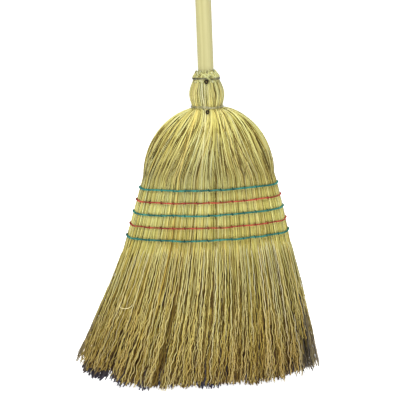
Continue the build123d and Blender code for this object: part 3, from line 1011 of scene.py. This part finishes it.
def seam(node, size):
    """Twine of one seam, with its stitches and side knots."""
    girdle = Girdle(node)
    bundle = Bundle()
    plies(bundle, girdle, size)
    stitches(bundle, girdle)
    side_knots(bundle, girdle)
    end_wraps(bundle, girdle, size)
    return bundle


# Materials


class Paint:
    """Material made of nodes, with the steps that several materials share."""

    def __init__(self, name):
        self.material = bpy.data.materials.new(name)
        self.material.use_nodes = True
        self.tree = self.material.node_tree
        self.shader = self.tree.nodes["Principled BSDF"]

    def give(self, node, inputs):
        """Link a node's inputs to outputs of other nodes, or set them to plain values."""
        for word, value in inputs.items():
            if isinstance(value, bpy.types.NodeSocket):
                self.tree.links.new(value, node.inputs[word])
            else:
                node.inputs[word].default_value = value

    def node(self, kind, output, inputs, **settings):
        """One output of a new shader node."""
        made = self.tree.nodes.new("ShaderNode" + kind)
        for word, value in settings.items():
            setattr(made, word, value)
        self.give(made, inputs)
        return made.outputs[output]

    def place(self):
        """Object coordinates, which are the frame's own."""
        return self.node("TexCoord", "Object", {})

    def stretched(self, scale, shift=(0.0, 0.0, 0.0)):
        """Object coordinates, scaled along each axis and moved."""
        return self.node("Mapping", "Vector", {"Vector": self.place(), "Location": shift, "Scale": scale})

    def axis(self, name):
        """One of the object coordinates."""
        return self.node("SeparateXYZ", name, {"Vector": self.place()})

    def attribute(self, name):
        """Value that each strand carries."""
        return self.node("Attribute", "Fac", {}, attribute_name=name)

    def math(self, operation, *values):
        """Result of a calculation with outputs of other nodes and plain numbers."""
        return self.node("Math", "Value", dict(enumerate(values)), operation=operation)

    def mapped(self, value, first, last):
        """Value from 0 to 1 between two places."""
        return self.node("MapRange", "Result", {"Value": value, "From Min": first, "From Max": last})

    def noise(self, vector, detail, scale=1.0):
        """Noise over coordinates."""
        return self.node("TexNoise", "Fac", {"Vector": vector, "Scale": scale, "Detail": detail})

    def strand_noise(self, along, across):
        """Noise that changes along each strand, different for every strand."""
        down = self.math("MULTIPLY", self.axis("Z"), along)
        strand = self.math("MULTIPLY", self.attribute("seed"), across)
        return self.noise(self.node("CombineXYZ", "Vector", {"X": down, "Y": strand}), detail=3.0)

    def ramp(self, value, stops):
        """Colour ramp over a value, with stops of place and colour."""
        made = self.node("ValToRGB", "Color", {"Fac": value})
        elements = made.node.color_ramp.elements
        while len(elements) < len(stops):
            elements.new(0.5)
        for element, (place, colour) in zip(elements, stops):
            element.position = place
            element.color = (*colour, 1.0)
        return made

    def product(self, first, *others, share=1.0):
        """Product of colours. A share says how much of it is taken."""
        for other in others:
            inputs = {"Factor": share, "A": first, "B": other}
            first = self.node("Mix", "Result", inputs, data_type="RGBA", blend_type="MULTIPLY")
        return first

    def bump(self, height, strength, distance):
        """Bump on the shader."""
        inputs = {"Height": height, "Strength": strength, "Distance": distance}
        self.give(self.shader, {"Normal": self.node("Bump", "Normal", inputs)})

    def finish(self, colour, roughness, specular=0.5, metallic=0.0):
        """Put the colour and the finish on the shader, and give back the material."""
        finish = {"Roughness": roughness, "Specular IOR Level": specular, "Metallic": metallic}
        self.give(self.shader, {"Base Color": colour, **finish})
        return self.material


unchanged = [(0.0, white), (1.0, white)]  # ramp that leaves a colour as it is


def straw_material(name, tones, height_tint_and_shade, hues, stain, sides=unchanged):
    """Straw: a colour per strand, mottled along it, which changes downwards, partly as painted light and
    shade, and from side to side.
    """
    paint = Paint(name)
    mottling = [(0.3, (0.8, 0.77, 0.7)), (0.55, white), (0.75, (1.07, 1.06, 1.0))]
    height = paint.mapped(paint.axis("Z"), 0.0, collar_top)
    across = paint.mapped(paint.axis("X"), cad_low.x, cad_high.x)
    in_skirt = paint.mapped(paint.axis("Z"), slice_height, slice_height - weathered_fade)
    patches = paint.noise(paint.stretched((14.0, 14.0, 9.0)), detail=2.0)
    colour = paint.product(
        paint.ramp(paint.attribute("tone"), tones),
        paint.ramp(paint.strand_noise(along=12.0, across=400.0), mottling),
        # colour by height, which also holds painted light and shade
        paint.ramp(height, height_tint_and_shade),
        paint.ramp(paint.attribute("seed"), hues),
        paint.ramp(patches, stain),
    )
    colour = paint.product(colour, paint.ramp(across, sides), share=in_skirt)
    paint.bump(paint.strand_noise(along=900.0, across=900.0), strength=0.25, distance=0.2 * mm)
    return paint.finish(colour, roughness=0.55, specular=0.3)


def cover_material():
    """Yellow straw of the four outer bundles, paler at the neck and browner towards the tips, with painted
    light and shade by height: a painted highlight over the top of the dome and painted shade on its lower
    part and towards the tips.
    """
    return straw_material(
        "cover_straw_strands",
        tones=[
            (0.0, (0.09, 0.054, 0.004)),
            (0.25, (0.26, 0.2, 0.044)),
            (0.5, (0.48, 0.425, 0.145)),
            (0.75, (0.66, 0.615, 0.29)),
            (0.94, (0.8, 0.785, 0.565)),
            (1.0, (1.0, 1.0, 0.9)),
        ],
        # by height: browner towards the tips, with a painted highlight over the dome's top and painted shade
        # on its lower part and towards the tips
        height_tint_and_shade=[
            (0.0, (0.82, 0.71, 0.505)),
            (0.05, (0.795, 0.66, 0.4)),
            (0.16, (0.855, 0.735, 0.415)),
            (0.27, (0.885, 0.8, 0.5)),
            (0.42, (0.82, 0.77, 0.51)),
            (0.57, (1.03, 1.09, 0.98)),
            (0.68, (0.65, 0.65, 0.58)),
            (0.77, (0.935, 0.96, 0.885)),
            (0.86, (1.16, 1.22, 1.19)),
            (0.94, (0.87, 0.925, 1.04)),
            (1.0, (0.84, 0.945, 1.05)),
        ],
        hues=[
            (0.0, (1.06, 0.95, 0.75)),
            (0.25, (1.0, 1.0, 0.95)),
            (0.6, (1.0, 1.02, 0.9)),
            (0.85, (0.92, 0.97, 1.15)),
            (1.0, (1.02, 1.02, 1.3)),
        ],
        stain=[(0.42, white), (0.7, (0.96, 0.88, 0.72))],
        sides=[(0.0, (0.84, 0.83, 0.8)), (0.3, white), (0.55, white), (1.0, (0.66, 0.65, 0.64))],
    )


def core_material():
    """Dark navy straw of the core, brown where it is higher up."""
    brown = (1.7, 1.25, 0.25)
    return straw_material(
        "core_straw_strands",
        tones=[(0.0, (0.011, 0.01, 0.024)), (0.5, (0.04, 0.037, 0.062)), (1.0, (0.15, 0.13, 0.115))],
        height_tint_and_shade=[(0.0, white), (0.03, white), (0.085, brown), (1.0, brown)],
        hues=[(0.0, white), (1.0, (0.95, 0.95, 1.1))],
        stain=[(0.4, white), (0.7, (0.8, 0.8, 0.9))],
    )


def edge_material():
    """Grey and brown weathered straw of the bare edges."""
    return straw_material(
        "core_straw_weathered",
        tones=[(0.0, (0.013, 0.01, 0.011)), (0.5, (0.08, 0.068, 0.046)), (1.0, (0.4, 0.355, 0.215))],
        height_tint_and_shade=unchanged,
        hues=[(0.0, (1.1, 0.98, 0.65)), (0.6, (1.0, 1.0, 0.9)), (1.0, (0.97, 0.94, 1.15))],
        stain=[(0.4, white), (0.7, (0.85, 0.8, 0.75))],
    )


def heart_material():
    """Painted shade: dark straw colour deep inside the head."""
    paint = Paint("core_straw_painted_shade")
    noise = paint.noise(paint.stretched((500.0, 500.0, 20.0)), detail=2.0)
    stops = [(0.35, (0.08, 0.056, 0.011)), (0.65, (0.21, 0.155, 0.038))]
    return paint.finish(paint.ramp(noise, stops), roughness=0.8, specular=0.1)


def twine_material(name, dark, middle, light):
    """Dyed twine, darker in the stitches, with painted highlights and darker patches along it, and a fibrous
    surface.
    """
    paint = Paint(name)
    middle_tone = 0.45
    fuzz_share = 0.9
    fuzz = paint.noise(paint.place(), detail=4.0, scale=700.0)
    # painted highlights: brighter and darker patches along the twine
    highlight_patches = paint.noise(paint.place(), detail=1.0, scale=110.0)
    tone = paint.math("SUBTRACT", paint.attribute("tone"), middle_tone)
    tone = paint.math("MULTIPLY_ADD", fuzz, fuzz_share, tone)
    colour = paint.ramp(tone, [(0.1, dark), (0.5, middle), (0.9, light)])
    highlighted = paint.ramp(highlight_patches, [(0.35, (0.62, 0.62, 0.62)), (0.65, (1.5, 1.4, 1.35))])
    paint.bump(fuzz, strength=0.5, distance=0.15 * mm)
    return paint.finish(paint.product(colour, highlighted), roughness=0.8, specular=0.2)


def wood_material():
    """Sanded pale wood with long faint grain."""
    paint = Paint("handle_wood_grain")
    grain = paint.noise(paint.stretched((260.0, 260.0, 5.0)), detail=5.0)
    stops = [(0.3, (0.335, 0.305, 0.123)), (0.5, (0.39, 0.36, 0.158)), (0.75, (0.435, 0.41, 0.194))]
    paint.bump(grain, strength=0.15, distance=0.3 * mm)
    return paint.finish(paint.ramp(grain, stops), roughness=0.5)


def wire_material(name, dark, light, scale):
    """Annealed wire with lighter spots, partly wear and partly painted glints."""
    paint = Paint(name)
    spots = paint.noise(paint.place(), detail=4.0, scale=scale)
    colour = paint.ramp(spots, [(0.4, dark), (0.75, light)])
    return paint.finish(colour, roughness=0.45, metallic=0.6)


def nail_material(node):
    """Dark oxidised steel, with a painted highlight in the middle of the nail's head."""
    paint = Paint(node + "_steel")
    middle = box_middle(node)
    from_middle = paint.stretched((1.0, 0.0, 1.0), shift=(-middle.x, 0.0, -middle.z))
    away = paint.node("VectorMath", "Value", {0: from_middle}, operation="LENGTH")
    share = paint.mapped(away, 0.0, box_size(node).x / 2)
    rust = paint.noise(paint.place(), detail=3.0, scale=900.0)
    # painted highlight: paler in the middle of the head, darker towards its rim
    worn = [
        (0.0, (0.2, 0.17, 0.07)),
        (0.25, (0.09, 0.07, 0.025)),
        (0.5, (0.014, 0.01, 0.003)),
        (1.0, (0.008, 0.006, 0.002)),
    ]
    spots = [(0.35, (0.7, 0.62, 0.5)), (0.7, white)]
    colour = paint.product(paint.ramp(share, worn), paint.ramp(rust, spots))
    return paint.finish(colour, roughness=0.55, specular=0.12)


# Pieces


def dress(piece, material, slot, *nodes):
    """Give a new piece its material and body, and hide the CAD nodes that it stands for. The slot is not
    used.
    """
    piece.data.materials.append(material)
    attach(piece, "root")
    if nodes:
        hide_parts(*nodes)


def repaint(node, material):
    """Give a CAD node that stays a better material."""
    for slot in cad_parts[node].material_slots:
        slot.material = material


def make_straw():
    """The four outer bundles and the core."""
    cover = cover_material()
    for node, (first, last) in zip(straw_nodes, bundle_shares):
        upper, lower = cover_bundle(first, last)
        if node == straw_nodes[0]:
            curl(lower)
        dress(upper.build(node + "_stalks"), cover, "cover_straw", node)
        dress(lower.build(node + "_fibres"), cover, "cover_straw")
    dress(core_bundle().build("core_bundle_fibres"), core_material(), "core_straw", "core_bundle")
    edges = side_fibres(Bundle(), weathered_sides)
    dress(edges.build("core_bundle_edges"), edge_material(), "core_straw")
    dress(heart("core_bundle_heart"), heart_material(), "core_straw")


def make_twine():
    """The five seams."""
    teal = twine_material("teal_twine_plies", (0.002, 0.033, 0.03), (0.02, 0.135, 0.108), (0.08, 0.25, 0.2))
    red = twine_material("red_twine_plies", (0.07, 0.008, 0.005), (0.27, 0.04, 0.026), (0.42, 0.1, 0.066))
    materials = {"teal": teal, "red": red}
    for node in seam_nodes:
        dye = node.split("_")[-1]
        twine = seam(node, twine_sizes[dye]).build(node + "_twine")
        dress(twine, materials[dye], dye + "_twine", node)


def make_hard_parts():
    """Handle, wires and nails keep their CAD shapes."""
    repaint("handle", wood_material())
    dark_wire = wire_material("binding_wire_annealed", (0.025, 0.022, 0.014), (0.3, 0.28, 0.16), scale=90.0)
    # the lower wire is painted paler, partly for wear and partly as painted sheen
    pale_glinting_wire = wire_material("binding_wire_worn_glint", (0.22, 0.21, 0.12), (0.5, 0.48, 0.3), scale=130.0)
    for node in wire_nodes:
        repaint(node, pale_glinting_wire if node == "lower_neck_wire" else dark_wire)
    for node in nail_nodes:
        repaint(node, nail_material(node))


# Stage


def area_light(name, place, size, power):
    """Square soft light, turned to the middle of the head."""
    aim = Vector((0.0, 0.0, 0.25))
    data = bpy.data.lights.new(name, "AREA")
    data.size = size
    data.energy = power
    light = linked(name, data)
    light.location = place
    light.rotation_mode = "QUATERNION"
    light.rotation_quaternion = (aim - Vector(place)).to_track_quat("-Z", "Y")


def make_floor():
    """Plain pale floor, with a low backdrop all round at its far edges."""
    reach = 60.0
    level = -0.5 * mm
    backdrop = 7.0
    mesh = bpy.data.meshes.new("floor")
    square = ((-1, -1), (1, -1), (1, 1), (-1, 1))
    corners = [(x * reach, y * reach, z) for z in (level, backdrop) for x, y in square]
    walls = [(i, i + 4, (i + 1) % 4 + 4, (i + 1) % 4) for i in range(4)]
    mesh.from_pydata(corners, [], [(0, 1, 2, 3), *walls])
    paint = Paint("floor_white")
    glow = {"Emission Color": (*white, 1.0), "Emission Strength": 0.92}
    paint.give(paint.shader, {"Base Color": (0.9, 0.9, 0.9, 1.0), "Roughness": 0.9, **glow})
    mesh.materials.append(paint.material)
    linked("floor", mesh)


def make_light():
    """Soft studio light from above the camera, with fill all round."""
    scene = bpy.context.scene
    scene.view_settings.view_transform = "Standard"
    world = bpy.data.worlds.new("studio")
    world.use_nodes = True
    background = world.node_tree.nodes["Background"]
    background.inputs["Color"].default_value = (*white, 1.0)
    background.inputs["Strength"].default_value = 0.38
    scene.world = world
    area_light("key", (-0.35, -1.0, 2.2), size=0.8, power=43.0)
    area_light("fill", (0.9, -1.8, 0.8), size=1.0, power=6.0)
    area_light("back", (0.4, 1.6, 1.5), size=1.0, power=20.0)


def make_camera():
    """Camera at the photograph's height and distance, with its slight roll."""
    data = bpy.data.cameras.new("camera")
    data.lens = camera_lens
    data.sensor_width = camera_sensor
    camera = linked("camera", data)
    back = Vector((0.0, -math.cos(camera_elevation), math.sin(camera_elevation)))
    camera.location = camera_aim + camera_distance * back
    camera.rotation_mode = "QUATERNION"
    level = (-back).to_track_quat("-Z", "Y")
    camera.rotation_quaternion = level @ Quaternion((0.0, 0.0, 1.0), -camera_roll)
    bpy.context.scene.camera = camera


make_straw()
make_twine()
make_hard_parts()
make_floor()
make_light()
make_camera()
